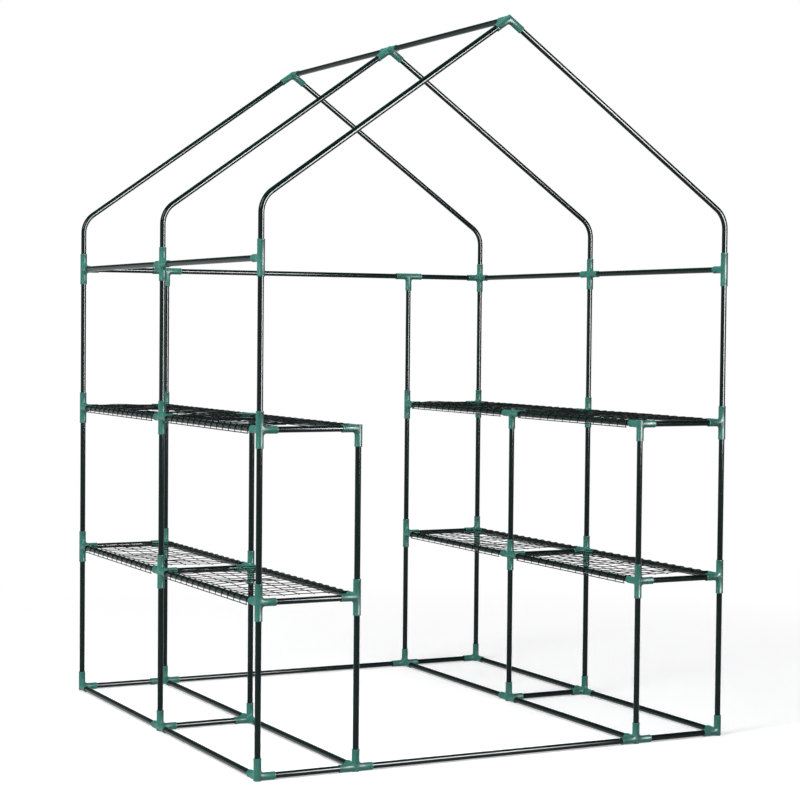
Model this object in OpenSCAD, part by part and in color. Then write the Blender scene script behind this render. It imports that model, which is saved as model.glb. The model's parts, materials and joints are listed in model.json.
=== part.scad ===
// Walk-in greenhouse frame without its cover: coated steel tubes plugged into
// moulded sockets, three bent roof hoops and two tiers of welded wire shelves a side.
// X runs across the front, Y from the doorway to the back, Z up from the ground.

/* [Layout] */
// Distance between the left and right post axes
span_x = 1408; // [1100:1:1800]
// Distance between the front and back post axes
span_y = 1408; // [1000:1:2000]
// Distance between the outer and inner post axes of one shelf
shelf_depth = 274; // [180:1:400]
// Height of the lower shelf rails above the base rails
lower_tier = 440; // [300:1:600]
// Height of the upper shelf rails above the lower ones
upper_tier = 434; // [300:1:600]
// Height of the eave rails above the upper shelf rails
eave_tier = 430; // [300:1:600]
// Height of the ridge above the eave rails
ridge_rise = 645; // [500:1:800]
// Height above the eave rails where the line of a post meets the line of the roof
knee_rise = 148; // [130:1:220]
// Bend radius of a rafter on its centre line
knee_r = 70; // [40:1:90]

/* [Tubes] */
// Outer diameter of the tubes
tube_d = 16; // [15:0.5:18]
// Wall of the tubes
tube_wall = 0.8; // [0.6:0.1:2]

/* [Sockets] */
// Wall of the thickest socket barrel
socket_wall = 2.25; // [2:0.05:3]
// How much slimmer each crossing barrel is
barrel_step = 0.6; // [0.4:0.1:0.8]
// Length of a socket arm from the joint's centre to its mouth
arm_l = 47; // [40:1:49]
// Gap round a tube in its socket
fit_gap = 0.15; // [0.1:0.05:0.3]
// Half length of the solid core that the tubes stop at
core_l = 12; // [11:0.5:18]
// Gap between the end of a tube and the core
end_gap = 0.2; // [0.1:0.1:1]
// Radius of the gussets between the arms
gusset_r = 7; // [4:0.5:10]
// Thickness of the gussets
gusset_t = 6; // [4:0.5:8]

/* [Shelf grids] */
// Diameter of the shelf wires
wire_d = 2.2; // [1.8:0.1:2.6]
// Diameter of the wire along the hooked edges
edge_wire_d = 2.8; // [2.7:0.1:4]
// Spacing of the wires, both ways
mesh = 42; // [25:0.5:60]
// Clearance between the ends of a shelf and the mouths of the sockets
grid_gap = 7; // [3:0.5:20]
// Gap between a wire and the rail that it hooks over
seat_gap = 0.2; // [0.1:0.05:0.4]
// How far the hooks reach below the axis of the rail
hook_drop = 11; // [9:0.5:16]
// Depth that crossing wires are welded into each other
weld = 0.6; // [0.4:0.1:0.8]
// How far at least the wires along a shelf run past the last wire across it
wire_end = 4; // [2:0.5:6]

/* [Hidden] */
$fn = 48;
UP = [0, 0, 1];
RIGHT = [1, 0, 0];
BACK = [0, 1, 0];

socket_d = tube_d + 2 * fit_gap + 2 * socket_wall;
stop = core_l + end_gap;
// A barrel that ends inside the crossing one starts this far behind the centre
root_l = 2;
// The two halves of a knee overlap by this many degrees past its middle
knee_lap = 5;
// A gusset's curve bites this far into the barrels beside it
gusset_bite = 1.2;

x_out = span_x / 2;
x_in = x_out - shelf_depth;
rows = [-span_y / 2, 0, span_y / 2];
base_z = socket_d / 2;
levels = [base_z, base_z + lower_tier, base_z + lower_tier + upper_tier];
eave_z = levels[2] + eave_tier;
ridge_z = eave_z + ridge_rise;

slope = atan2(ridge_rise - knee_rise, x_out);
knee_turn = 90 - slope;
knee_cut = knee_r * tan(knee_turn / 2);
roof_l = norm([x_out, ridge_rise - knee_rise]);

wire_z = tube_d / 2 + seat_gap + wire_d / 2;
grid_l = span_y / 2 - 2 * (arm_l + grid_gap);
// As many wires as fit across the shelf, and along it between the rails
cross_count = 1 + floor((grid_l - 2 * wire_end) / mesh);
long_count = 1 + floor((shelf_depth - tube_d - wire_d - 2 * seat_gap) / mesh);
hook_x = shelf_depth / 2 + wire_z;

tube_colour = "#17211f";
socket_colour = "#3d7f69";
wire_colour = "#262f2d";

// Turns +Z to the direction d
module aim(d) {
    rotate([0, acos(d.z), atan2(d.y, d.x)]) children();
}

module ring() {
    difference() {
        circle(d = tube_d);
        circle(d = tube_d - 2 * tube_wall);
    }
}

// A straight tube between two joints, plugged into the sockets at both
module tube(from, to) {
    run = to - from;
    translate(from) aim(run / norm(run)) translate([0, 0, stop]) linear_extrude(norm(run) - 2 * stop) ring();
}

// The bend of a rafter about its centre, from the top of the stub to just past its middle
module half_knee(d) {
    rotate_extrude(angle = knee_turn / 2 + knee_lap) translate([knee_r, 0]) circle(d = d);
}

// A bent rod about the centre of its knee: upright stub, bend and slope
module bent_rod(d, extra) {
    stub_l = knee_rise - knee_cut - stop + extra;
    translate([-knee_r, 0, -stub_l]) cylinder(d = d, h = stub_l);
    rotate([90, 0, 180]) half_knee(d);
    rotate([0, knee_turn, 0]) {
        rotate([-90, 0, 180]) half_knee(d);
        translate([-knee_r, 0, 0]) cylinder(d = d, h = roof_l - knee_cut - stop + extra);
    }
}

module left_rafter(y) {
    translate([knee_r - x_out, y, eave_z + knee_rise - knee_cut]) difference() {
        bent_rod(tube_d, 0);
        bent_rod(tube_d - 2 * tube_wall, tube_wall);
    }
}

module rafters(y) {
    color(tube_colour) {
        left_rafter(y);
        mirror(RIGHT) left_rafter(y);
    }
}

// Tubes one after another along X, between joints at the given places
module tubes_along_x(xs, y, z) {
    for (i = [1:len(xs) - 1]) tube([xs[i - 1], y, z], [xs[i], y, z]);
}

// The two tubes along Y that join the three rows
module tubes_along_y(x, z) {
    for (i = [1:2]) tube([x, rows[i - 1], z], [x, rows[i], z]);
}

module post(x, y, heights) {
    color(tube_colour)
        for (i = [1:len(heights) - 1]) tube([x, y, heights[i - 1]], [x, y, heights[i]]);
}

module outer_post(side, row) {
    post(side * x_out, rows[row], concat(levels, [eave_z]));
}

// Only the back inner posts run up to the eave
module inner_post(side, row) {
    post(side * x_in, rows[row], row == 2 ? concat(levels, [eave_z]) : levels);
}

// The rails and cross tubes of one shelf, or of the base under it
module shelf_tubes(side, level) {
    z = levels[level];
    xs = side < 0 ? [-x_out, -x_in] : [x_in, x_out];
    color(tube_colour) {
        for (x = xs) tubes_along_y(x, z);
        for (y = rows) tubes_along_x(xs, y, z);
    }
}

// Half of a wire across a shelf: straight, then bent over the rail and down
module hook_outline() {
    bend = wire_z;
    translate([0, wire_z - wire_d / 2]) square([hook_x - bend, wire_d]);
    translate([hook_x - bend, wire_z - bend]) intersection() {
        difference() {
            circle(r = bend + wire_d / 2);
            circle(r = bend - wire_d / 2);
        }
        square(bend + wire_d);
    }
    translate([hook_x - wire_d / 2, -hook_drop]) square([wire_d, hook_drop + wire_z - bend]);
}

module cross_wire() {
    rotate([90, 0, 0]) linear_extrude(wire_d, center = true) {
        hook_outline();
        mirror(RIGHT) hook_outline();
    }
}

module long_wire(d) {
    rotate([90, 0, 0]) cylinder(d = d, h = grid_l, center = true);
}

// A welded wire shelf that lies on the rails of one bay and hooks over them
module shelf_grid(side, level, bay) {
    at = [side * (x_out + x_in) / 2, (rows[bay] + rows[bay + 1]) / 2, levels[level]];
    color(wire_colour) translate(at) union() {
        for (i = [0:cross_count - 1]) translate([0, (i - (cross_count - 1) / 2) * mesh, 0]) cross_wire();
        for (i = [0:long_count - 1])
            translate([(i - (long_count - 1) / 2) * mesh, 0, wire_z - wire_d + weld]) long_wire(wire_d);
        for (s = [-1, 1]) translate([s * hook_x, 0, -hook_drop]) long_wire(edge_wire_d);
    }
}

function has(arms, d) = max([for (a = arms) norm(a - d) < 0.01 ? 1 : 0]) == 1;

// The barrel along one axis. An end without an arm stops at end_l from the centre.
module barrel(arms, axis, d, end_l) {
    low = has(arms, -axis) ? arm_l : end_l;
    high = has(arms, axis) ? arm_l : end_l;
    if (low == arm_l || high == arm_l) aim(axis) translate([0, 0, -low]) cylinder(d = d, h = low + high);
}

// A gusset with a hollow curve between two arms at right angles
module gusset(a, b) {
    c = cross(a, b);
    reach = socket_d / 2 + gusset_r;
    multmatrix([[a.x, b.x, c.x, 0], [a.y, b.y, c.y, 0], [a.z, b.z, c.z, 0], [0, 0, 0, 1]])
        linear_extrude(gusset_t, center = true) difference() {
            square(reach);
            translate([reach, reach]) circle(r = gusset_r + gusset_bite);
        }
}

module gussets(arms) {
    for (i = [1:len(arms) - 1], j = [0:i - 1])
        if (abs(arms[i] * arms[j]) < 0.01) gusset(arms[i], arms[j]);
}

module bores(arms) {
    for (a = arms) aim(a) translate([0, 0, core_l]) cylinder(d = tube_d + 2 * fit_gap, h = arm_l);
}

// A moulded socket with one arm for each direction. The first axis has the thickest
// barrel, closed flat where it has no arm; the others end inside it.
module socket(at, arms, axes = [UP, RIGHT, BACK]) {
    translate(at) difference() {
        union() {
            for (i = [0:2]) barrel(arms, axes[i], socket_d - i * barrel_step, i == 0 ? socket_d / 2 : root_l);
            gussets(arms);
        }
        bores(arms);
    }
}

// A ridge socket: two sloping arms mitred at the peak, and arms along the ridge
module ridge_socket(y, along) {
    sloping = [for (s = [-1, 1]) [s * cos(slope), 0, -sin(slope)]];
    translate([0, y, ridge_z]) difference() {
        union() {
            for (s = [0, 1]) intersection() {
                aim(sloping[s]) translate([0, 0, -socket_d]) cylinder(d = socket_d, h = arm_l + socket_d);
                translate([(s - 1) * 2 * arm_l, -arm_l, -arm_l]) cube(2 * arm_l);
            }
            barrel(along, BACK, socket_d - 2 * barrel_step, root_l);
            for (a = sloping, b = along) gusset(a, b);
        }
        bores(concat(sloping, along));
    }
}

// Arms along Y at each row: towards the next row, the last row, or both
function along(row) = concat(row < 2 ? [BACK] : [], row > 0 ? [-BACK] : []);

// The six sockets of one side at a shelf level, or at the base
module level_sockets(side, level) {
    inward = -side * RIGHT;
    color(socket_colour) for (row = [0:2]) {
        down = level > 0 ? [-UP] : [];
        inner_up = level < 2 || row == 2 ? [UP] : [];
        tie = level == 0 && row != 1 ? [inward] : [];
        socket([side * x_out, rows[row], levels[level]], concat([UP, inward], down, along(row)));
        socket([side * x_in, rows[row], levels[level]], concat([-inward], inner_up, down, tie, along(row)));
    }
}

module eave_sockets(side) {
    color(socket_colour) for (row = [0:2]) {
        tie = row == 2 ? [-side * RIGHT] : [];
        socket([side * x_out, rows[row], eave_z], concat([UP, -UP], tie, along(row)));
    }
}

module front_rafters() { rafters(rows[0]); }
module middle_rafters() { rafters(rows[1]); }
module back_rafters() { rafters(rows[2]); }
module ridge_tubes() { color(tube_colour) tubes_along_y(0, ridge_z); }
module left_eave_tubes() { color(tube_colour) tubes_along_y(-x_out, eave_z); }
module right_eave_tubes() { color(tube_colour) tubes_along_y(x_out, eave_z); }
module back_eave_tubes() { color(tube_colour) tubes_along_x([-x_out, -x_in, x_in, x_out], rows[2], eave_z); }

module front_left_post() { outer_post(-1, 0); }
module middle_left_post() { outer_post(-1, 1); }
module back_left_post() { outer_post(-1, 2); }
module front_right_post() { outer_post(1, 0); }
module middle_right_post() { outer_post(1, 1); }
module back_right_post() { outer_post(1, 2); }
module front_left_inner_post() { inner_post(-1, 0); }
module middle_left_inner_post() { inner_post(-1, 1); }
module back_left_inner_post() { inner_post(-1, 2); }
module front_right_inner_post() { inner_post(1, 0); }
module middle_right_inner_post() { inner_post(1, 1); }
module back_right_inner_post() { inner_post(1, 2); }

module left_base_tubes() { shelf_tubes(-1, 0); }
module right_base_tubes() { shelf_tubes(1, 0); }
module front_base_tube() { color(tube_colour) tubes_along_x([-x_in, x_in], rows[0], base_z); }
module back_base_tube() { color(tube_colour) tubes_along_x([-x_in, x_in], rows[2], base_z); }
module left_lower_shelf_tubes() { shelf_tubes(-1, 1); }
module right_lower_shelf_tubes() { shelf_tubes(1, 1); }
module left_upper_shelf_tubes() { shelf_tubes(-1, 2); }
module right_upper_shelf_tubes() { shelf_tubes(1, 2); }

module left_lower_front_grid() { shelf_grid(-1, 1, 0); }
module left_lower_back_grid() { shelf_grid(-1, 1, 1); }
module right_lower_front_grid() { shelf_grid(1, 1, 0); }
module right_lower_back_grid() { shelf_grid(1, 1, 1); }
module left_upper_front_grid() { shelf_grid(-1, 2, 0); }
module left_upper_back_grid() { shelf_grid(-1, 2, 1); }
module right_upper_front_grid() { shelf_grid(1, 2, 0); }
module right_upper_back_grid() { shelf_grid(1, 2, 1); }

module ridge_sockets() { color(socket_colour) for (row = [0:2]) ridge_socket(rows[row], along(row)); }
module left_eave_sockets() { eave_sockets(-1); }
module right_eave_sockets() { eave_sockets(1); }
module back_eave_sockets() {
    color(socket_colour) for (s = [-1, 1])
        socket([s * x_in, rows[2], eave_z], [RIGHT, -RIGHT, -UP], [RIGHT, UP, BACK]);
}
module left_lower_shelf_sockets() { level_sockets(-1, 1); }
module right_lower_shelf_sockets() { level_sockets(1, 1); }
module left_upper_shelf_sockets() { level_sockets(-1, 2); }
module right_upper_shelf_sockets() { level_sockets(1, 2); }
module left_base_sockets() { level_sockets(-1, 0); }
module right_base_sockets() { level_sockets(1, 0); }

front_rafters();
middle_rafters();
back_rafters();
ridge_tubes();
left_eave_tubes();
right_eave_tubes();
back_eave_tubes();
front_left_post();
middle_left_post();
back_left_post();
front_right_post();
middle_right_post();
back_right_post();
front_left_inner_post();
middle_left_inner_post();
back_left_inner_post();
front_right_inner_post();
middle_right_inner_post();
back_right_inner_post();
left_base_tubes();
right_base_tubes();
front_base_tube();
back_base_tube();
left_lower_shelf_tubes();
right_lower_shelf_tubes();
left_upper_shelf_tubes();
right_upper_shelf_tubes();
left_lower_front_grid();
left_lower_back_grid();
right_lower_front_grid();
right_lower_back_grid();
left_upper_front_grid();
left_upper_back_grid();
right_upper_front_grid();
right_upper_back_grid();
ridge_sockets();
left_eave_sockets();
right_eave_sockets();
back_eave_sockets();
left_lower_shelf_sockets();
right_lower_shelf_sockets();
left_upper_shelf_sockets();
right_upper_shelf_sockets();
left_base_sockets();
right_base_sockets();
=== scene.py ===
"""A bare walk-in greenhouse frame: coated tubes in moulded sockets, with wire shelves along both sides."""
import json
import logging
import math
from contextlib import contextmanager
from dataclasses import dataclass, field
from enum import Enum
from typing import Callable, ClassVar, Iterator, Sequence

import bmesh
import bpy
from mathutils import Matrix, Vector

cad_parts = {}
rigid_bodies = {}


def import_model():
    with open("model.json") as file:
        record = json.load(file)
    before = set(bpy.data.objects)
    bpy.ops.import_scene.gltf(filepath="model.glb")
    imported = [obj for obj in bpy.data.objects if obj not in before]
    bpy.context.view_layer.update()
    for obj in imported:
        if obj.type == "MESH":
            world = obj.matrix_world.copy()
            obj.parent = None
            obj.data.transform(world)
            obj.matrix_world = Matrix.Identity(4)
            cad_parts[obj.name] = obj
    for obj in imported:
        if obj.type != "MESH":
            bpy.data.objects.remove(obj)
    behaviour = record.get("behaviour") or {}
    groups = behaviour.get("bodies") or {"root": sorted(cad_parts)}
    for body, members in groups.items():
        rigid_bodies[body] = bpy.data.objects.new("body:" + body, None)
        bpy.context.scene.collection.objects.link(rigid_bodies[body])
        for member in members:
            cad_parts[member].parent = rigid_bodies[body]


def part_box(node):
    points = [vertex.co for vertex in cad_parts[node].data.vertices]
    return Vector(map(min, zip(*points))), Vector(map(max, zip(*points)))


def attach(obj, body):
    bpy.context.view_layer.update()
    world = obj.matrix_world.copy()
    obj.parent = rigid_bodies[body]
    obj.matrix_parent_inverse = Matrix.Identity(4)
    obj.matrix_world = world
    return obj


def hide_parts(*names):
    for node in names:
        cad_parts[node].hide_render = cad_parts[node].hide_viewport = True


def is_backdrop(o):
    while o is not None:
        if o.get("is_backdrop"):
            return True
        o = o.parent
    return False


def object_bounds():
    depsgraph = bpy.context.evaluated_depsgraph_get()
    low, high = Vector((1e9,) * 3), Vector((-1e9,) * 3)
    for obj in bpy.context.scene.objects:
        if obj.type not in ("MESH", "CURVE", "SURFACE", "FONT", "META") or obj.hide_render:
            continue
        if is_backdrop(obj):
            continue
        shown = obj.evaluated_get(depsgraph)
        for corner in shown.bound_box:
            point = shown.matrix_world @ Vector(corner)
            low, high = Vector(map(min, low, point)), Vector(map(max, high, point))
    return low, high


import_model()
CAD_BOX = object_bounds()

LOG = logging.getLogger("greenhouse")
MM = 0.001
BODY = "root"
TINY = 1e-6
# Points of neighbouring barrels that lie closer than this are one point
MERGE = 0.02 * MM
# Points further than this from the centre of a bar's end belong to something else
END_REACH = 100.0 * MM
# Noise keeps mostly inside these bounds, so a blend that starts and stops there uses all of its range
TONE_SPAN = (0.35, 0.65)
ROUGH_SPAN = (0.3, 0.7)
WHITE = (1, 1, 1, 1)

Obj = bpy.types.Object
Run = tuple[Vector, Vector]
Colour = tuple[float, float, float]


class Named(Enum):
    """Options that go by their own names in the names of nodes."""

    @property
    def word(self) -> str:
        """The option's name in node names."""
        return self.name.lower()


class Side(Named):
    """The two long sides, by the sign of X."""

    LEFT = -1
    RIGHT = 1

    @property
    def inward(self) -> "Way":
        """The way from this side to the aisle."""
        return self.outward.opposite

    @property
    def outward(self) -> "Way":
        """The way from the aisle to this side."""
        return Way((self.value, 0, 0))


class Row(Named):
    """The three rows of posts from front to back."""

    FRONT = 0
    MIDDLE = 1
    BACK = 2

    @property
    def along(self) -> list["Way"]:
        """The ways along Y in which another row follows."""
        return [Way.BACK] * (self is not Row.BACK) + [Way.FRONT] * (self is not Row.FRONT)


class Tier(Enum):
    """The three heights at which rails run along a side."""

    BASE = "base"
    LOWER = "lower"
    UPPER = "upper"

    @property
    def word(self) -> str:
        """The tier's name in the names of its tubes and sockets."""
        return self.value if self is Tier.BASE else f"{self.value}_shelf"


class Bay(Named):
    """The two bays between rows, by the row in front."""

    FRONT = 0
    BACK = 1


class Way(Enum):
    """The six ways in which the arm of a socket can point."""

    LEFT = (-1, 0, 0)
    RIGHT = (1, 0, 0)
    FRONT = (0, -1, 0)
    BACK = (0, 1, 0)
    UP = (0, 0, 1)
    DOWN = (0, 0, -1)

    @property
    def vector(self) -> Vector:
        """The way as a unit vector."""
        return Vector(self.value)

    @property
    def opposite(self) -> "Way":
        """The way that points back."""
        return Way(tuple(-n for n in self.value))


class Element(Enum):
    """What is selected in edit mode, by the name of its list in the mesh."""

    EDGE = "edges"
    FACE = "faces"


class LampUse(Enum):
    """What a soft box is there for."""

    LIGHT = "lights and shows in reflections"
    FILL = "lights only"
    CARD = "shows in reflections only"


@dataclass(frozen=True)
class Layout:
    """The axes of the tubes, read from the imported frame, in metres."""

    x_out: float
    x_in: float
    rows: tuple[float, float, float]
    base_z: float
    lower_z: float
    upper_z: float
    eave_z: float
    ridge_z: float

    @classmethod
    def from_frame(cls) -> "Layout":
        """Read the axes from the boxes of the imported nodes.

        Returns:
            The layout of this frame.
        """
        def middle(node: str) -> Vector:
            """The middle of a node's box."""
            low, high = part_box(node)
            return (low + high) / 2

        return cls(
            x_out=middle("front_right_post").x,
            x_in=middle("front_right_inner_post").x,
            rows=tuple(middle(f"{row.word}_right_post").y for row in Row),
            base_z=middle("front_base_tube").z,
            lower_z=middle("left_lower_shelf_tubes").z,
            upper_z=middle("left_upper_shelf_tubes").z,
            eave_z=middle("left_eave_tubes").z,
            ridge_z=middle("ridge_tubes").z,
        )

    def height(self, tier: Tier) -> float:
        """The height of a tier's rails."""
        return {Tier.BASE: self.base_z, Tier.LOWER: self.lower_z, Tier.UPPER: self.upper_z}[tier]

    def outer(self, side: Side, row: Row, z: float) -> Vector:
        """A joint on the axis of an outer post."""
        return Vector((side.value * self.x_out, self.rows[row.value], z))

    def inner(self, side: Side, row: Row, z: float) -> Vector:
        """A joint on the axis of an inner post."""
        return Vector((side.value * self.x_in, self.rows[row.value], z))

    def peak(self, row: Row) -> Vector:
        """A joint on the ridge."""
        return Vector((0, self.rows[row.value], self.ridge_z))


def select_only(*objects: Obj) -> None:
    """Select these objects alone and make the first one active.

    Args:
        objects: What the next operator acts on.
    """
    bpy.ops.object.select_all(action="DESELECT")
    for obj in objects:
        obj.select_set(True)
    bpy.context.view_layer.objects.active = objects[0]


@contextmanager
def editing(obj: Obj, element: Element = Element.FACE) -> Iterator[None]:
    """Open an object in edit mode with nothing selected.

    Args:
        obj: The object to edit.
        element: What is selected in it.

    Yields:
        Nothing, with the object in edit mode.
    """
    select_only(obj)
    bpy.ops.object.mode_set(mode="EDIT")
    bpy.ops.mesh.select_mode(type=element.name)
    bpy.ops.mesh.select_all(action="DESELECT")
    yield
    bpy.ops.object.mode_set(mode="OBJECT")


def pick(obj: Obj, element: Element, test: Callable[..., bool]) -> int:
    """Select the faces or edges of the edited object that pass a test.

    Args:
        obj: The object in edit mode.
        element: Which of the two.
        test: Says of one face or edge whether it is wanted.

    Returns:
        How many were selected.
    """
    bpy.ops.mesh.select_all(action="DESELECT")
    mesh = bmesh.from_edit_mesh(obj.data)
    wanted = [item for item in getattr(mesh, element.value) if test(item)]
    for item in wanted:
        item.select_set(True)
    bmesh.update_edit_mesh(obj.data)
    return len(wanted)


def pick_end(obj: Obj, at: Vector, along: Vector) -> None:
    """Select the flat end of a round bar.

    Args:
        obj: The bar in edit mode.
        at: A point on the plane of the end.
        along: The direction of the bar there.
    """
    def on_end(face: bmesh.types.BMFace) -> bool:
        """Whether every point of a face lies in the end."""
        offsets = [vert.co - at for vert in face.verts]
        return all(abs(gap.dot(along)) < MERGE and gap.length < END_REACH for gap in offsets)

    pick(obj, Element.FACE, on_end)


def start_from(add: Callable[..., set[str]], **settings: object) -> Obj:
    """Add a primitive at its size and place, and write its place into its mesh.

    Args:
        add: The operator that adds it.
        settings: The operator's settings.

    Returns:
        The new object.
    """
    bpy.ops.object.select_all(action="DESELECT")
    add(**settings)
    bpy.ops.object.transform_apply(location=True, rotation=True, scale=True)
    return bpy.context.active_object


def grow(move: Vector, scale: float = 1.0, about: Vector | None = None) -> None:
    """Extrude what is selected and, if asked, make its far end wider or narrower.

    Args:
        move: How far the far end goes.
        scale: The far end's size against the near end's.
        about: The centre of the far end, if it is scaled.
    """
    bpy.ops.mesh.extrude_region_move(TRANSFORM_OT_translate={"value": tuple(move)})
    if about is not None:
        bpy.ops.transform.resize(value=(scale,) * 3, center_override=tuple(about))


def tidy_mesh(obj: Obj) -> None:
    """Merge doubled points and turn every face outwards.

    Args:
        obj: The object.
    """
    with editing(obj):
        bpy.ops.mesh.select_all(action="SELECT")
        bpy.ops.mesh.remove_doubles(threshold=MERGE)
        bpy.ops.mesh.normals_make_consistent(inside=False)


def settle(obj: Obj, place: Matrix) -> Obj:
    """Put an object in its place and write the place into its mesh.

    Args:
        obj: The object.
        place: Where it goes.

    Returns:
        The object, at the origin and unturned.
    """
    obj.matrix_world = place
    select_only(obj)
    bpy.ops.object.transform_apply(location=True, rotation=True, scale=True)
    return obj


def copy_to(master: Obj, place: Matrix) -> Obj:
    """Copy a modelled shape, with a mesh of its own, to its place.

    Args:
        master: The shape that was modelled once.
        place: Where the copy goes.

    Returns:
        The copy.
    """
    select_only(master)
    bpy.ops.object.duplicate(linked=False)
    return settle(bpy.context.active_object, place)


def join(objects: Sequence[Obj]) -> Obj:
    """Join objects into the first one.

    Args:
        objects: What becomes one piece.

    Returns:
        The joined object.
    """
    select_only(*objects)
    if len(objects) > 1:
        bpy.ops.object.join()
    return objects[0]


def facing(way: Vector) -> Matrix:
    """The turn that takes +Z to a direction and keeps the barrel's points in step with its neighbours'.

    Args:
        way: The direction, along an axis or in the XZ plane.

    Returns:
        The turn as a matrix.
    """
    along_y = abs(way.y) > abs(way.x) + abs(way.z)
    upright = Way.UP.vector if along_y else Way.BACK.vector
    return Matrix((upright.cross(way), upright, way)).transposed().to_4x4()


class Nodes:
    """A small hand for wiring a material or world."""

    def __init__(self, owner: bpy.types.ID) -> None:
        """Start from an empty node tree.

        Args:
            owner: The material or world.
        """
        owner.use_nodes = True
        self.tree = owner.node_tree
        self.tree.nodes.clear()

    def add(self, kind: str, **settings: object) -> bpy.types.Node:
        """Add a node.

        Args:
            kind: The node's type.
            settings: Values of its properties, or by name what its sockets hold or are wired to.

        Returns:
            The node.
        """
        node = self.tree.nodes.new(kind)
        for key, value in settings.items():
            if hasattr(node, key):
                setattr(node, key, value)
                continue
            socket = node.inputs[key.replace("_", " ")]
            if isinstance(value, bpy.types.NodeSocket):
                self.tree.links.new(value, socket)
            else:
                socket.default_value = value
        return node

    def pair(self, kind: str, *sources: bpy.types.NodeSocket, **settings: object) -> bpy.types.NodeSocket:
        """Add a node that joins two sockets, and wire them to it in turn.

        Args:
            kind: The node's type.
            sources: The two sockets.
            settings: As for any node.

        Returns:
            The joint result.
        """
        node = self.add(kind, **settings)
        for source, socket in zip(sources, [s for s in node.inputs if s.name != "Fac"]):
            self.tree.links.new(source, socket)
        return node.outputs[0]

    def seen(self) -> bpy.types.NodeSocket:
        """Tell the rays by which a background is seen, straight, in a reflection or through something.

        Returns:
            A socket that is 1 for such a ray and 0 for one that only lights.
        """
        ray = self.add("ShaderNodeLightPath").outputs
        seen = ray["Is Camera Ray"]
        for kind in ("Is Glossy Ray", "Is Transmission Ray"):
            seen = self.pair("ShaderNodeMath", seen, ray[kind], operation="MAXIMUM")
        return seen


@dataclass(frozen=True)
class Finish:
    """A surface: two close shades, a band of roughness and a fine grain, all in Object coordinates."""

    name: str
    slot: str
    shade: Colour
    tone: Colour
    tone_scale: float
    roughness: tuple[float, float]
    rough_scale: float
    grain_scale: float
    grain_height: float
    specular: float

    def material(self) -> bpy.types.Material:
        """Wire the material.

        Returns:
            The material, made once for each finish.
        """
        made = bpy.data.materials.get(self.name)
        if made:
            return made
        made = bpy.data.materials.new(self.name)
        nodes = Nodes(made)
        where = nodes.add("ShaderNodeTexCoord").outputs["Object"]

        def noise(scale: float, detail: float) -> bpy.types.NodeSocket:
            """A noise over the piece."""
            return nodes.add("ShaderNodeTexNoise", Vector=where, Scale=scale, Detail=detail).outputs["Fac"]

        ramp = nodes.add("ShaderNodeValToRGB", Fac=noise(self.tone_scale, detail=3.0))
        for stop, position, colour in zip(ramp.color_ramp.elements, TONE_SPAN, (self.shade, self.tone)):
            stop.position, stop.color = position, (*colour, 1)
        band = nodes.add(
            "ShaderNodeMapRange", Value=noise(self.rough_scale, detail=2.0),
            From_Min=ROUGH_SPAN[0], From_Max=ROUGH_SPAN[1],
            To_Min=self.roughness[0], To_Max=self.roughness[1],
        )
        bump = nodes.add(
            "ShaderNodeBump", Height=noise(self.grain_scale, detail=2.0),
            Strength=1.0, Distance=self.grain_height,
        )
        skin = nodes.add(
            "ShaderNodeBsdfPrincipled", Base_Color=ramp.outputs["Color"], Roughness=band.outputs["Result"],
            Normal=bump.outputs["Normal"], Specular_IOR_Level=self.specular,
        )
        nodes.add("ShaderNodeOutputMaterial", Surface=skin.outputs["BSDF"])
        return made


TUBE_COAT = Finish(
    name="dark_tube_coat", slot="tube", shade=(0.0018, 0.0095, 0.0086), tone=(0.0030, 0.0140, 0.0126),
    tone_scale=9.0, roughness=(0.10, 0.14), rough_scale=60.0,
    grain_scale=700.0, grain_height=0.0003 * MM, specular=0.12,
)
SOCKET_PLASTIC = Finish(
    name="green_socket_plastic", slot="socket", shade=(0.029, 0.158, 0.126), tone=(0.039, 0.186, 0.150),
    tone_scale=38.0, roughness=(0.34, 0.44), rough_scale=140.0,
    grain_scale=900.0, grain_height=0.006 * MM, specular=0.17,
)
WIRE_COAT = Finish(
    name="dark_wire_coat", slot="wire", shade=(0.003, 0.007, 0.0065), tone=(0.005, 0.011, 0.010),
    tone_scale=25.0, roughness=(0.20, 0.34), rough_scale=120.0,
    grain_scale=1100.0, grain_height=0.002 * MM, specular=0.12,
)


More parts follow.
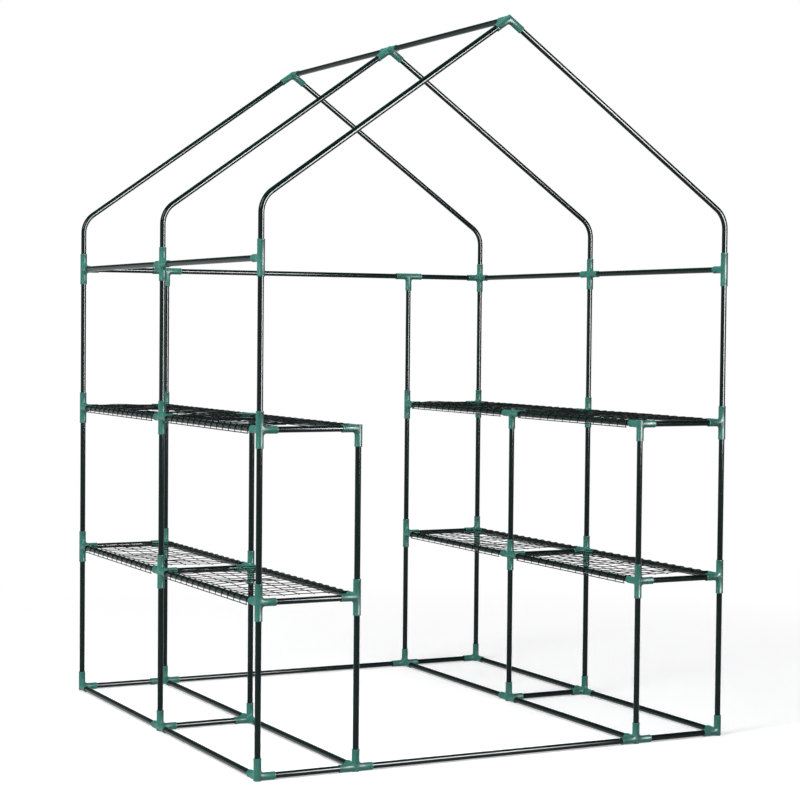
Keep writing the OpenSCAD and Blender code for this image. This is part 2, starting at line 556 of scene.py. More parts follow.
@dataclass(frozen=True)
class TubeStock:
    """Coated round tube. A cut tube stops short of the centre of each joint and is open at both ends."""

    radius: float = 8.0 * MM
    wall: float = 0.8 * MM
    open_depth: float = 25.0 * MM
    sides: int = 32
    stop: float = 12.2 * MM
    knee_rise: float = 148.0 * MM
    knee_radius: float = 70.0 * MM
    knee_steps: int = 16

    def hollow(self, tube: Obj, at: Vector, outward: Vector) -> None:
        """Open one end of a tube.

        Args:
            tube: The tube in edit mode.
            at: The centre of the end.
            outward: The way out of that end.
        """
        pick_end(tube, at, outward)
        bpy.ops.mesh.inset(thickness=self.wall)
        grow(-outward * self.open_depth)

    def cut(self, run: Run) -> Obj:
        """Cut a straight tube.

        Args:
            run: The two joints that it runs between.

        Returns:
            The tube.
        """
        way = (run[1] - run[0]).normalized()
        start, end = run[0] + way * self.stop, run[1] - way * self.stop
        tube = start_from(
            bpy.ops.mesh.primitive_cylinder_add, vertices=self.sides, radius=self.radius,
            depth=(end - start).length, location=(start + end) / 2, rotation=facing(way).to_euler(),
        )
        with editing(tube):
            self.hollow(tube, start, -way)
            self.hollow(tube, end, way)
        return tube

    def bend(self, eave: Vector, peak: Vector) -> Obj:
        """Bend a rafter: a short upright, a knee, and the slope up to the ridge.

        Args:
            eave: The joint at its foot.
            peak: The joint at the ridge.

        Returns:
            The rafter.
        """
        up = Way.UP.vector
        corner = eave + up * self.knee_rise
        slope = (peak - corner).normalized()
        turn = up.angle(slope)
        cut = self.knee_radius * math.tan(turn / 2)
        inward = Vector((math.copysign(1.0, slope.x), 0, 0))
        foot = eave + up * self.stop
        pivot = corner - up * cut + inward * self.knee_radius
        top = peak - slope * self.stop
        tube = start_from(
            bpy.ops.mesh.primitive_circle_add, vertices=self.sides, radius=self.radius, location=foot,
        )
        with editing(tube, Element.EDGE):
            bpy.ops.mesh.select_all(action="SELECT")
            grow(up * (self.knee_rise - cut - self.stop))
            bpy.ops.mesh.spin(
                steps=self.knee_steps, angle=turn, center=tuple(pivot), axis=tuple(inward.cross(up)),
            )
            grow(slope * ((peak - corner).length - cut - self.stop))
            bpy.ops.mesh.select_all(action="SELECT")
            bpy.ops.mesh.fill_holes(sides=0)
        tidy_mesh(tube)
        with editing(tube):
            self.hollow(tube, foot, -up)
            self.hollow(tube, top, slope)
        return tube


@dataclass
class SubAssembly:
    """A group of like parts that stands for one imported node."""

    layout: Layout

    finish: ClassVar[Finish] = TUBE_COAT
    smooth_angle: ClassVar[float] = 35.0

    @property
    def node(self) -> str:
        """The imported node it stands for."""
        raise NotImplementedError

    def build(self) -> Obj:
        """Model the group as one piece."""
        raise NotImplementedError

    def dress(self, piece: Obj) -> None:
        """Give the piece its finish and tie it to the frame.

        Args:
            piece: The modelled piece.
        """
        piece.name = f"{self.node}_made"
        piece.data.name = piece.name
        select_only(piece)
        bpy.ops.object.shade_smooth_by_angle(angle=math.radians(self.smooth_angle))
        piece.data.materials.clear()
        piece.data.materials.append(self.finish.material())
        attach(piece, BODY)
        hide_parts(self.node)
        LOG.info("%s: %d faces", piece.name, len(piece.data.polygons))

    def make(self) -> None:
        """Build the group and dress it."""
        self.dress(self.build())


@dataclass
class TubeGroup(SubAssembly):
    """Straight tubes that belong together."""

    stock: TubeStock = field(default_factory=TubeStock)

    def runs(self) -> list[Run]:
        """The joints that each tube runs between."""
        raise NotImplementedError

    def build(self) -> Obj:
        """Cut the tubes and join them."""
        return join([self.stock.cut(run) for run in self.runs()])


def chain(points: Sequence[Vector]) -> list[Run]:
    """Runs from each point to the next."""
    return list(zip(points, points[1:]))


@dataclass
class RoofHoop(TubeGroup):
    """The two bent rafters of one row."""

    row: Row = Row.FRONT

    @property
    def node(self) -> str:
        """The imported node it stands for."""
        return f"{self.row.word}_rafters"

    def build(self) -> Obj:
        """Bend a rafter for each side and join them."""
        feet = [self.layout.outer(side, self.row, self.layout.eave_z) for side in Side]
        return join([self.stock.bend(foot, self.layout.peak(self.row)) for foot in feet])


@dataclass
class RidgeLine(TubeGroup):
    """The tubes along the ridge."""

    node: ClassVar[str] = "ridge_tubes"

    def runs(self) -> list[Run]:
        """From ridge joint to ridge joint."""
        return chain([self.layout.peak(row) for row in Row])


@dataclass
class EaveLine(TubeGroup):
    """The tubes along one eave."""

    side: Side = Side.LEFT

    @property
    def node(self) -> str:
        """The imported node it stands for."""
        return f"{self.side.word}_eave_tubes"

    def runs(self) -> list[Run]:
        """From row to row."""
        return chain([self.layout.outer(self.side, row, self.layout.eave_z) for row in Row])


@dataclass
class BackEave(TubeGroup):
    """The tubes across the back at the height of the eaves."""

    node: ClassVar[str] = "back_eave_tubes"

    def runs(self) -> list[Run]:
        """From the left corner over both inner posts to the right corner.

        Returns:
            The joints that each tube runs between.
        """
        z, lay = self.layout.eave_z, self.layout
        return chain([
            lay.outer(Side.LEFT, Row.BACK, z), lay.inner(Side.LEFT, Row.BACK, z),
            lay.inner(Side.RIGHT, Row.BACK, z), lay.outer(Side.RIGHT, Row.BACK, z),
        ])


@dataclass
class Post(TubeGroup):
    """One upright, a tube for each tier."""

    side: Side = Side.LEFT
    row: Row = Row.FRONT
    inner: bool = False

    @property
    def node(self) -> str:
        """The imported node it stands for."""
        return f"{self.row.word}_{self.side.word}_{'inner_' if self.inner else ''}post"

    def runs(self) -> list[Run]:
        """From tier to tier. An inner post stops at the upper shelf, except at the back.

        Returns:
            The joints that each tube runs between.
        """
        heights = [self.layout.height(tier) for tier in Tier]
        if not self.inner or self.row is Row.BACK:
            heights.append(self.layout.eave_z)
        spot = self.layout.inner if self.inner else self.layout.outer
        return chain([spot(self.side, self.row, z) for z in heights])


@dataclass
class SideRails(TubeGroup):
    """The rails and cross tubes of one side at one tier."""

    side: Side = Side.LEFT
    tier: Tier = Tier.BASE

    @property
    def node(self) -> str:
        """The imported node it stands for."""
        return f"{self.side.word}_{self.tier.word}_tubes"

    def runs(self) -> list[Run]:
        """Two rails from row to row, and a cross tube at each row.

        Returns:
            The joints that each tube runs between.
        """
        z = self.layout.height(self.tier)
        outer = [self.layout.outer(self.side, row, z) for row in Row]
        inner = [self.layout.inner(self.side, row, z) for row in Row]
        return chain(outer) + chain(inner) + list(zip(outer, inner))


@dataclass
class BaseTie(TubeGroup):
    """The tube on the ground between the two sides."""

    row: Row = Row.FRONT

    @property
    def node(self) -> str:
        """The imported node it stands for."""
        return f"{self.row.word}_base_tube"

    def runs(self) -> list[Run]:
        """From inner post to inner post."""
        return [tuple(self.layout.inner(side, self.row, self.layout.base_z) for side in Side)]


@dataclass(frozen=True)
class Barrel:
    """One arm of a socket along +Z: a collar and a rounded lip at its mouth, and a bore down to a stop."""

    radius: float = 10.1 * MM
    collar_radius: float = 10.35 * MM
    length: float = 47.0 * MM
    collar: float = 3.6 * MM
    collar_step: float = 0.4 * MM
    lip: float = 0.5 * MM
    lip_rise: float = 0.7
    lip_in: float = 0.3
    bore: float = 8.15 * MM
    stop: float = 12.0 * MM
    cap: float = 10.4 * MM
    cap_edge: float = 0.25 * MM
    root: float = 15.0 * MM
    sides: int = 40

    def bar(self, top: float) -> Obj:
        """A plain round bar from behind the centre up to a height.

        Args:
            top: The height.

        Returns:
            The bar.
        """
        return start_from(
            bpy.ops.mesh.primitive_cylinder_add, vertices=self.sides, radius=self.radius,
            depth=top + self.root, location=(0, 0, (top - self.root) / 2),
        )

    def arm(self) -> Obj:
        """Model the arm.

        Returns:
            The arm, whose root reaches behind the centre for mitring.
        """
        top = self.length - self.collar
        arm = self.bar(top)
        up = Way.UP.vector
        steps = [
            (self.collar_step, self.collar_radius),
            (self.collar - self.collar_step - self.lip, self.collar_radius),
            (self.lip * self.lip_rise, self.collar_radius - self.lip * self.lip_in),
            (self.lip * self.lip_in, self.collar_radius - self.lip),
            (0.0, self.bore),
            (self.stop - self.length, self.bore),
        ]
        with editing(arm):
            pick_end(arm, up * top, up)
            z, width = top, self.radius
            for rise, wide in steps:
                z += rise
                grow(up * rise, wide / width, up * z)
                width = wide
        return arm

    def stub(self) -> Obj:
        """Model the closed end of a barrel that has no arm.

        Returns:
            The stub, with a flat end and a broken edge.
        """
        up = Way.UP.vector
        low = self.cap - self.cap_edge
        stub = self.bar(low)
        with editing(stub):
            pick_end(stub, up * low, up)
            grow(up * self.cap_edge, (self.radius - self.cap_edge) / self.radius, up * self.cap)
        return stub


@dataclass
class SocketMould:
    """Moulds the sockets: barrels mitred where they meet, with rounded crotches and a gate mark."""

    barrel: Barrel = Barrel()
    # The ridge's Y barrels are a little slimmer than the sloping ones that they run into
    slim: Barrel = Barrel(radius=9.8 * MM, collar_radius=10.1 * MM)
    crotch: float = 6.5 * MM
    crotch_steps: int = 3
    crotch_angle: float = 8.0
    crotch_slack: float = 0.2 * MM
    slim_root: float = 2.0 * MM
    gate_radius: float = 1.7 * MM
    gate_rise: float = 0.25 * MM
    gate_sink: float = 0.8 * MM
    gate_taper: float = 0.75
    gate_sides: int = 16
    shapes: dict[object, Obj] = field(default_factory=dict)

    def master(self, key: object, model: Callable[[], Obj]) -> Obj:
        """A shape that is modelled once and kept for copying.

        Args:
            key: What it is kept under.
            model: Models it the first time.

        Returns:
            The kept shape.
        """
        if key not in self.shapes:
            self.shapes[key] = model()
        return self.shapes[key]

    def mitred(self, ways: Sequence[Vector], masters: Sequence[Obj]) -> Obj:
        """Mitre barrels against each other and merge them into one closed shape.

        Args:
            ways: The direction of each barrel.
            masters: The shape of each barrel along +Z.

        Returns:
            The merged shape, centred on the joint.
        """
        arms = []
        for way, master in zip(ways, masters):
            arm = copy_to(master, facing(way))
            with editing(arm):
                for other in ways:
                    if other is not way:
                        bpy.ops.mesh.select_all(action="SELECT")
                        bpy.ops.mesh.bisect(
                            plane_co=(0, 0, 0), plane_no=tuple((way - other).normalized()),
                            clear_inner=True, threshold=TINY,
                        )
            arms.append(arm)
        shape = join(arms)
        tidy_mesh(shape)
        return shape

    def round_crotches(self, shape: Obj, arms: Sequence[Vector], stubs: Sequence[Vector]) -> None:
        """Round the hollow edges where two arms meet.

        Args:
            shape: The merged shape.
            arms: The direction of each arm.
            stubs: The direction of each closed end.
        """
        def is_crotch(edge: bmesh.types.BMEdge) -> bool:
            """Whether an edge is hollow and lies as near to one arm as to the next.

            Args:
                edge: The edge.

            Returns:
                True if it is the crotch of two arms.
            """
            hollow = -math.radians(self.crotch_angle)
            if len(edge.link_faces) != 2 or edge.calc_face_angle_signed(0) > hollow:
                return False
            middle = (edge.verts[0].co + edge.verts[1].co) / 2
            first, second = sorted((middle.dot(way) for way in arms), reverse=True)[:2]
            beside_stub = any(middle.dot(way) > second - self.crotch_slack for way in stubs)
            near = first - second < self.crotch_slack and middle.length < self.barrel.length / 2
            return near and not beside_stub

        with editing(shape, Element.EDGE):
            if pick(shape, Element.EDGE, is_crotch):
                bpy.ops.mesh.bevel(
                    offset=self.crotch, offset_type="OFFSET", segments=self.crotch_steps, profile=0.5,
                    clamp_overlap=True,
                )
            bpy.ops.mesh.select_all(action="SELECT")
            bpy.ops.mesh.remove_doubles(threshold=MERGE)

    def gate(self) -> Obj:
        """The gate mark that moulding leaves: a low round pip along +Z, half sunk in the barrel.

        Returns:
            The pip.
        """
        up, step = Way.UP.vector, self.gate_rise / 2
        low, high = self.barrel.radius - self.gate_sink, self.barrel.radius + step
        pip = start_from(
            bpy.ops.mesh.primitive_cylinder_add, vertices=self.gate_sides, radius=self.gate_radius,
            depth=high - low, location=(0, 0, (low + high) / 2),
        )
        with editing(pip):
            pick_end(pip, up * high, up)
            grow(up * step, self.gate_taper, up * (high + step))
        return pip

    def cross(self, ways: Sequence[Way], main: Way) -> Obj:
        """Mould a socket whose arms lie along the axes.

        Args:
            ways: The arms.
            main: The axis of the barrel that is closed flat where it has no arm.

        Returns:
            The socket, centred on the joint.
        """
        closed = [way for way in (main, main.opposite) if way not in ways]
        arm = self.master("arm", self.barrel.arm)
        stub = self.master("stub", self.barrel.stub)
        arms, stubs = [way.vector for way in ways], [way.vector for way in closed]
        shape = self.mitred(arms + stubs, [arm] * len(arms) + [stub] * len(stubs))
        self.round_crotches(shape, arms, stubs)
        bare = next((way for way in (Way.FRONT, Way.BACK, Way.LEFT, Way.RIGHT) if way not in ways), None)
        if bare is None:
            return shape
        return join([shape, copy_to(self.master("gate", self.gate), facing(bare.vector))])

    def ridge(self, slopes: Sequence[Vector], along: Sequence[Way]) -> Obj:
        """Mould a ridge socket: two sloping arms mitred at the peak, and arms along the ridge.

        Args:
            slopes: The directions of the sloping arms.
            along: The arms along the ridge.

        Returns:
            The socket, centred on the joint.
        """
        shape = self.mitred(slopes, [self.master("arm", self.barrel.arm)] * len(slopes))
        self.round_crotches(shape, slopes, [])
        for way in along:
            arm = copy_to(self.master("slim", self.slim.arm), facing(way.vector))
            with editing(arm):
                bpy.ops.mesh.select_all(action="SELECT")
                bpy.ops.mesh.bisect(
                    plane_co=tuple(-way.vector * self.slim_root), plane_no=way.value,
                    clear_inner=True, use_fill=True, threshold=TINY,
                )
            union = shape.modifiers.new("union", "BOOLEAN")
            union.operation, union.solver, union.object = "UNION", "EXACT", arm
            select_only(shape)
            bpy.ops.object.modifier_apply(modifier=union.name)
            bpy.data.objects.remove(arm)
        tidy_mesh(shape)
        return shape

    def clear(self) -> None:
        """Throw away the shapes that were only for copying."""
        for shape in self.shapes.values():
            bpy.data.objects.remove(shape)
        self.shapes.clear()


@dataclass
class SocketGroup(SubAssembly):
    """Sockets of one height and side."""

    mould: SocketMould = field(default_factory=SocketMould)

    finish: ClassVar[Finish] = SOCKET_PLASTIC
    # The axis of the barrel that runs through
    main_axis: ClassVar[Way] = Way.UP

    def spots(self) -> list[tuple[Vector, list[Way]]]:
        """The joint and the arms of each socket."""
        raise NotImplementedError

    def build(self) -> Obj:
        """Copy each socket's shape to its joint.

        Returns:
            The piece.
        """
        made = []
        for joint, ways in self.spots():
            key = (frozenset(ways), self.main_axis)
            shape = self.mould.master(key, lambda: self.mould.cross(ways, self.main_axis))
            made.append(copy_to(shape, Matrix.Translation(joint)))
        return join(made)


@dataclass
class TierSockets(SocketGroup):
    """The six sockets of one side at one tier."""

    side: Side = Side.LEFT
    tier: Tier = Tier.BASE

    @property
    def node(self) -> str:
        """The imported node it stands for."""
        return f"{self.side.word}_{self.tier.word}_sockets"

    def spots(self) -> list[tuple[Vector, list[Way]]]:
        """The outer and inner sockets of each row.

        Returns:
            The joint and the arms of each socket.
        """
        spots = []
        z = self.layout.height(self.tier)
        for row in Row:
            down = [] if self.tier is Tier.BASE else [Way.DOWN]
            inner_up = [Way.UP] if self.tier is not Tier.UPPER or row is Row.BACK else []
            tie = [self.side.inward] if self.tier is Tier.BASE and row is not Row.MIDDLE else []
            outer = [Way.UP, self.side.inward, *down, *row.along]
            inner = [self.side.outward, *inner_up, *down, *tie, *row.along]
            spots.append((self.layout.outer(self.side, row, z), outer))
            spots.append((self.layout.inner(self.side, row, z), inner))
        return spots


@dataclass
class EaveSockets(SocketGroup):
    """The three sockets of one eave."""

    side: Side = Side.LEFT

    @property
    def node(self) -> str:
        """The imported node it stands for."""
        return f"{self.side.word}_eave_sockets"

    def spots(self) -> list[tuple[Vector, list[Way]]]:
        """One socket for each row; the back one also takes the tube across.

        Returns:
            The joint and the arms of each socket.
        """
        return [
            (self.layout.outer(self.side, row, self.layout.eave_z),
             [Way.UP, Way.DOWN, *([self.side.inward] if row is Row.BACK else []), *row.along])
            for row in Row
        ]


@dataclass
class BackEaveSockets(SocketGroup):
    """The two tees on the back inner posts."""

    node: ClassVar[str] = "back_eave_sockets"
    main_axis: ClassVar[Way] = Way.RIGHT

    def spots(self) -> list[tuple[Vector, list[Way]]]:
        """One tee on each inner post."""
        tee = [Way.LEFT, Way.RIGHT, Way.DOWN]
        return [(self.layout.inner(side, Row.BACK, self.layout.eave_z), tee) for side in Side]


@dataclass
class RidgeSockets(SocketGroup):
    """The three sockets of the ridge."""

    stock: TubeStock = field(default_factory=TubeStock)

    node: ClassVar[str] = "ridge_sockets"

    def build(self) -> Obj:
        """Mould a socket at each ridge joint.

        Returns:
            The piece.
        """
        rise = self.layout.ridge_z - self.layout.eave_z - self.stock.knee_rise
        slopes = [Vector((side.value * self.layout.x_out, 0, -rise)).normalized() for side in Side]
        made = []
        for row in Row:
            shape = self.mould.ridge(slopes, row.along)
            made.append(settle(shape, Matrix.Translation(self.layout.peak(row))))
        return join(made)


@dataclass(frozen=True)
class WireMesh:
    """Welded wire: cross wires hooked over both rails, long wires under them, and hook wires."""

    wire: float = 1.1 * MM
    edge_wire: float = 1.4 * MM
    pitch: float = 42.0 * MM
    cross_count: int = 15
    long_count: int = 7
    seat: float = 9.3 * MM
    weld: float = 0.6 * MM
    hook_drop: float = 11.0 * MM
    end: float = 4.0 * MM
    sides: int = 10
    bend_steps: int = 5
    cut_edge: float = 0.35 * MM
    span_steps: int = 10
    run_cuts: int = 19
    # Welded wire never lies quite flat: it buckles up and down between the rails
    buckle: float = 12.0 * MM
    buckle_scale: float = 0.11
    buckle_ramp: float = 45.0 * MM

    def cross_wire(self, reach: float) -> Obj:
        """Bend one cross wire, from hook to hook.

        Args:
            reach: Half the distance between the rails.

        Returns:
            The wire, centred between the rails.
        """
        up, right = Way.UP.vector, Way.RIGHT.vector
        start = Vector((-reach - self.seat, 0, -self.hook_drop))
        wire = start_from(
            bpy.ops.mesh.primitive_circle_add, vertices=self.sides, radius=self.wire, location=start,
        )
        with editing(wire, Element.EDGE):
            bpy.ops.mesh.select_all(action="SELECT")
            grow(up * self.hook_drop)
            self.bend(-reach)
            for _ in range(self.span_steps):
                grow(right * (2 * reach / self.span_steps))
            self.bend(reach)
            grow(-up * self.hook_drop)
            bpy.ops.mesh.select_all(action="SELECT")
            bpy.ops.mesh.fill_holes(sides=0)
        tidy_mesh(wire)
        return wire

    def bend(self, rail: float) -> None:
        """Bend the open end of a wire by a quarter turn over a rail."""
        bpy.ops.mesh.spin(steps=self.bend_steps, angle=math.pi / 2, center=(rail, 0, 0), axis=(0, -1, 0))

    def long_wire(self, radius: float) -> Obj:
        """Cut one straight wire along Y, with broken edges at its ends.

        Args:
            radius: The wire's radius.

        Returns:
            The wire, centred on the origin.
        """
        half = (self.cross_count - 1) / 2 * self.pitch + self.end
        wire = start_from(
            bpy.ops.mesh.primitive_cylinder_add, vertices=self.sides, radius=radius,
            depth=2 * half, rotation=(math.pi / 2, 0, 0),
        )

        def run(edge: bmesh.types.BMEdge) -> float:
            """How far an edge runs along the wire."""
            return abs(edge.verts[0].co.y - edge.verts[1].co.y)

        with editing(wire, Element.EDGE):
            pick(wire, Element.EDGE, lambda edge: run(edge) < TINY)
            bpy.ops.mesh.bevel(offset=self.cut_edge, segments=1)
            pick(wire, Element.EDGE, lambda edge: run(edge) > half)
            bpy.ops.mesh.subdivide(number_cuts=self.run_cuts)
        return wire

    def panel(self, reach: float) -> Obj:
        """Weld one shelf.

        Args:
            reach: Half the distance between the rails.

        Returns:
            The shelf, centred between the rails of its bay, at the height of their axes.
        """
        def spread(master: Obj, places: Sequence[Vector]) -> list[Obj]:
            """Copy a wire to its places and throw the first one away.

            Args:
                master: The wire.
                places: Where the copies go.

            Returns:
                The copies.
            """
            copies = [copy_to(master, Matrix.Translation(place)) for place in places]
            bpy.data.objects.remove(master)
            return copies

        def steps(count: int) -> list[float]:
            """Evenly spaced places about the middle."""
            return [(i - (count - 1) / 2) * self.pitch for i in range(count)]

        below = self.seat - 2 * self.wire + self.weld
        wires = spread(self.cross_wire(reach), [Vector((0, y, 0)) for y in steps(self.cross_count)])
        wires += spread(self.long_wire(self.wire), [Vector((x, 0, below)) for x in steps(self.long_count)])
        hooks = [Vector((side.value * (reach + self.seat), 0, -self.hook_drop)) for side in Side]
        wires += spread(self.long_wire(self.edge_wire), hooks)
        return join(wires)

    def unflatten(self, panel: Obj, middle: float, reach: float) -> None:
        """Let the wires between the rails stand a little out of flat.

        Args:
            panel: The shelf in its place.
            middle: The X of the line half-way between its rails.
            reach: Half the distance between the rails.
        """
        free = panel.vertex_groups.new(name="between_rails")
        for vertex in panel.data.vertices:
            inside = (reach - abs(vertex.co.x - middle)) / self.buckle_ramp
            free.add([vertex.index], min(1.0, max(0.0, inside)), "REPLACE")
        cloud = bpy.data.textures.new("wire_buckle", "CLOUDS")
        cloud.noise_scale = self.buckle_scale
        wave = panel.modifiers.new("buckle", "DISPLACE")
        wave.texture, wave.vertex_group, wave.direction = cloud, free.name, "Z"
        wave.strength = self.buckle
        select_only(panel)
        bpy.ops.object.modifier_apply(modifier=wave.name)
        panel.vertex_groups.clear()
        bpy.data.textures.remove(cloud)


@dataclass
class WireShelf(SubAssembly):
    """One welded shelf, hooked over the rails of a bay."""

    mesh: WireMesh = field(default_factory=WireMesh)
    mould: SocketMould = field(default_factory=SocketMould)
    side: Side = Side.LEFT
    tier: Tier = Tier.LOWER
    bay: Bay = Bay.FRONT

    finish: ClassVar[Finish] = WIRE_COAT
    smooth_angle: ClassVar[float] = 50.0

    @property
    def node(self) -> str:
        """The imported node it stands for."""
        return f"{self.side.word}_{self.tier.value}_{self.bay.word}_grid"

    def build(self) -> Obj:
        """Copy the shelf to its bay.

        Returns:
            The piece.
        """
        lay = self.layout
        reach = (lay.x_out - lay.x_in) / 2
        panel = self.mould.master("shelf", lambda: self.mesh.panel(reach))
        middle = Vector((
            self.side.value * (lay.x_out + lay.x_in) / 2,
            (lay.rows[self.bay.value] + lay.rows[self.bay.value + 1]) / 2,
            lay.height(self.tier),
        ))
        piece = copy_to(panel, Matrix.Translation(middle))
        self.mesh.unflatten(piece, middle.x, reach)
        return piece


@dataclass(frozen=True)
class Lamp:
    """One soft box, aimed at the middle of the frame."""

    name: str
    place: tuple[float, float, float]
    size: tuple[float, float]
    watts: float
    use: LampUse = LampUse.LIGHT


@dataclass(frozen=True)
class Camera:
    """The viewpoint of the photograph, in degrees and metres. The image is square."""

    azimuth: float = -26.8930
    elevation: float = 2.0582
    roll: float = 0.5534
    distance: float = 6.0681
    target: tuple[float, float, float] = (0.0454, 0.0, 0.9279)
    lens: float = 91.851
    sensor: float = 36.0

    def set_up(self) -> None:
        """Add the camera and make it the scene's own."""
        az, el, roll = (math.radians(a) for a in (self.azimuth, self.elevation, self.roll))
        back = Vector((math.sin(az) * math.cos(el), -math.cos(az) * math.cos(el), math.sin(el)))
        level = Way.UP.vector.cross(back).normalized()
        rise = back.cross(level)
        right = level * math.cos(roll) + rise * math.sin(roll)
        up = rise * math.cos(roll) - level * math.sin(roll)
        data = bpy.data.cameras.new("photo_camera")
        data.lens, data.sensor_width, data.sensor_fit = self.lens, self.sensor, "HORIZONTAL"
        camera = bpy.data.objects.new("photo_camera", data)
        bpy.context.scene.collection.objects.link(camera)
        camera.matrix_world = Matrix((right, up, back)).transposed().to_4x4()
        camera.location = Vector(self.target) + back * self.distance
        bpy.context.scene.camera = camera


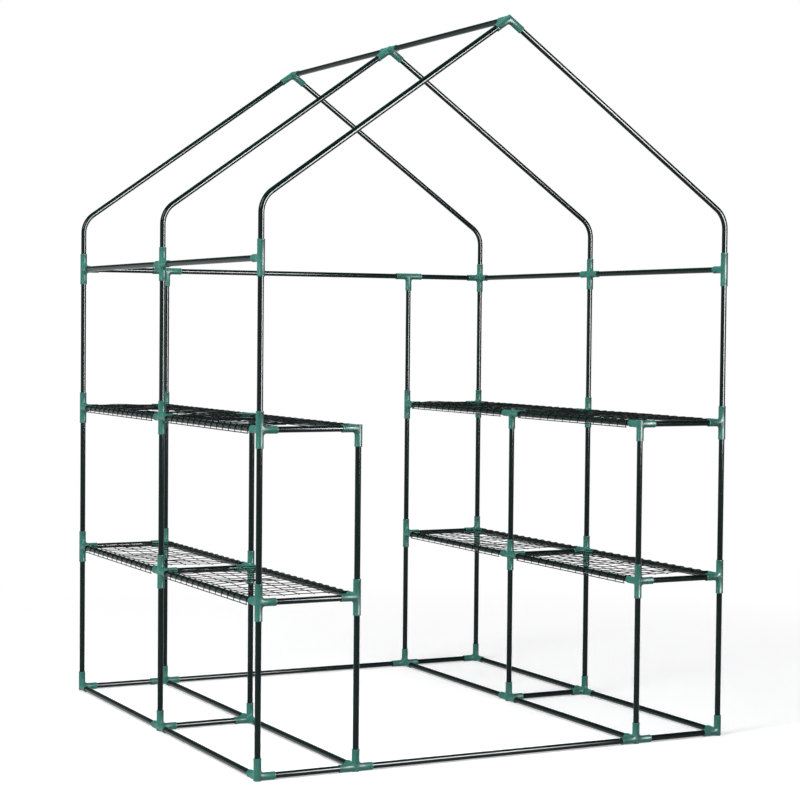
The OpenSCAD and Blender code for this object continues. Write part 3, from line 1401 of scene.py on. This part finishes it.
@dataclass(frozen=True)
class Studio:
    """A white studio: a pale floor, a white wall round it, and soft boxes."""

    floor_size: float = 120.0
    floor_colour: Colour = (0.80, 0.80, 0.81)
    floor_glow: float = 0.40
    floor_fade: tuple[float, float] = (0.9, 3.2)
    sky: float = 0.16
    # Reflections show a dark ceiling, which starts between these two angles above the horizon
    ceiling: float = 0.10
    ceiling_rise: tuple[float, float] = (3.0, 13.0)
    middle: tuple[float, float, float] = (0.0, 0.0, 1.0)
    lamps: tuple[Lamp, ...] = (
        Lamp("key_box", (-4.2, -2.0, 3.6), (2.0, 2.0), 255.0),
        Lamp("top_box", (0.2, -0.6, 4.2), (2.4, 2.4), 60.0, LampUse.FILL),
        Lamp("back_box", (1.5, 6.5, 3.6), (3.0, 3.0), 50.0, LampUse.FILL),
        Lamp("right_card", (1.05, -2.80, 1.40), (1.15, 1.4), 490.0, LampUse.CARD),
    )

    def set_up(self) -> None:
        """Light the scene and lay the floor."""
        bpy.context.scene.view_settings.view_transform = "Standard"
        self.hang_sky()
        self.lay_floor()
        for lamp in self.lamps:
            self.hang(lamp)

    def hang(self, lamp: Lamp) -> None:
        """Hang one soft box.

        Args:
            lamp: The soft box.
        """
        data = bpy.data.lights.new(lamp.name, "AREA")
        data.shape, data.energy = "RECTANGLE", lamp.watts
        data.size, data.size_y = lamp.size
        box = bpy.data.objects.new(lamp.name, data)
        box.visible_diffuse = lamp.use is not LampUse.CARD
        box.visible_glossy = lamp.use is not LampUse.FILL
        bpy.context.scene.collection.objects.link(box)
        box.location = lamp.place
        box.rotation_euler = (Vector(self.middle) - box.location).to_track_quat("-Z", "Y").to_euler()
        if lamp.use is LampUse.CARD:
            self.spare_wires(box)

    def spare_wires(self, card: Obj) -> None:
        """Keep a card off the thin wires, which would look white against it from behind.

        Args:
            card: The soft box.
        """
        lit = bpy.data.collections.new(f"{card.name}_lit")
        for piece in bpy.data.objects:
            if piece.type == "MESH" and WIRE_COAT.name not in piece.material_slots:
                lit.objects.link(piece)
        card.light_linking.receiver_collection = lit

    def hang_sky(self) -> None:
        """A white world, dimmer as a light than it looks."""
        world = bpy.data.worlds.new("white_studio")
        nodes = Nodes(world)
        where = nodes.add("ShaderNodeTexCoord").outputs["Generated"]
        low, high = (math.sin(math.radians(angle)) for angle in self.ceiling_rise)
        wall = nodes.add(
            "ShaderNodeMapRange", interpolation_type="SMOOTHSTEP",
            Value=nodes.add("ShaderNodeSeparateXYZ", Vector=where).outputs["Z"],
            From_Min=low, From_Max=high, To_Min=1.0, To_Max=self.ceiling,
        ).outputs["Result"]
        straight = nodes.add("ShaderNodeLightPath").outputs["Is Camera Ray"]
        shown = nodes.pair("ShaderNodeMath", wall, straight, operation="MAXIMUM")
        strength = nodes.add("ShaderNodeMapRange", Value=nodes.seen(), To_Min=self.sky, To_Max=shown)
        sky = nodes.add("ShaderNodeBackground", Color=WHITE, Strength=strength.outputs["Result"])
        nodes.add("ShaderNodeOutputWorld", Surface=sky.outputs["Background"])
        bpy.context.scene.world = world

    def lay_floor(self) -> None:
        """A pale floor that takes the shadow and looks white elsewhere."""
        floor = start_from(bpy.ops.mesh.primitive_plane_add, size=self.floor_size)
        floor.name = "studio_floor"
        paper = bpy.data.materials.new("floor_paper")
        nodes = Nodes(paper)
        matt = nodes.add("ShaderNodeBsdfDiffuse", Color=(*self.floor_colour, 1))
        lift = nodes.add("ShaderNodeMapRange", Value=nodes.seen(), To_Min=0.0, To_Max=self.floor_glow)
        glow = nodes.add("ShaderNodeEmission", Color=WHITE, Strength=lift.outputs["Result"])
        near = nodes.pair("ShaderNodeAddShader", matt.outputs["BSDF"], glow.outputs["Emission"])
        # Away from the frame the floor fades into the white of the studio
        shine = nodes.add("ShaderNodeMapRange", Value=nodes.seen(), To_Min=self.sky, To_Max=1.0)
        sweep = nodes.add("ShaderNodeEmission", Color=WHITE, Strength=shine.outputs["Result"])
        where = nodes.add("ShaderNodeTexCoord").outputs["Object"]
        away = nodes.add("ShaderNodeVectorMath", operation="LENGTH", Vector=where).outputs["Value"]
        fade = nodes.add(
            "ShaderNodeMapRange", interpolation_type="SMOOTHSTEP", Value=away,
            From_Min=self.floor_fade[0], From_Max=self.floor_fade[1],
        )
        far = sweep.outputs["Emission"]
        blend = nodes.pair("ShaderNodeMixShader", near, far, Fac=fade.outputs["Result"])
        nodes.add("ShaderNodeOutputMaterial", Surface=blend)
        floor.data.materials.append(paper)
        floor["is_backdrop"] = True


def sub_assemblies(layout: Layout, mould: SocketMould) -> list[SubAssembly]:
    """Everything that the frame is put together from, from the ground up.

    Args:
        layout: The axes of the tubes.
        mould: Keeps the shapes that are modelled once.

    Returns:
        The sub-assemblies in building order.
    """
    stock, mesh = TubeStock(), WireMesh()
    parts: list[SubAssembly] = []
    for side in Side:
        for tier in Tier:
            parts.append(SideRails(layout, stock, side, tier))
            parts.append(TierSockets(layout, mould, side, tier))
            if tier is not Tier.BASE:
                parts += [WireShelf(layout, mesh, mould, side, tier, bay) for bay in Bay]
        for row in Row:
            parts += [Post(layout, stock, side, row, inner) for inner in (False, True)]
        parts += [EaveLine(layout, stock, side), EaveSockets(layout, mould, side)]
    parts += [BaseTie(layout, stock, row) for row in (Row.FRONT, Row.BACK)]
    parts += [BackEave(layout, stock), BackEaveSockets(layout, mould)]
    parts += [RoofHoop(layout, stock, row) for row in Row]
    parts += [RidgeLine(layout, stock), RidgeSockets(layout, mould, stock)]
    return parts


def write_sizes() -> None:
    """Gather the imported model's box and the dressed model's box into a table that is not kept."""
    boxes = {"cad": CAD_BOX, "visual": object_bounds()}
    {name: [list(corner) for corner in box] for name, box in boxes.items()}


def main() -> None:
    """Build every sub-assembly, then the studio round it."""
    logging.basicConfig(level=logging.INFO, format="%(message)s")
    mould = SocketMould()
    for part in sub_assemblies(Layout.from_frame(), mould):
        part.make()
    mould.clear()
    Camera().set_up()
    Studio().set_up()
    write_sizes()


if __name__ == "__main__":
    main()
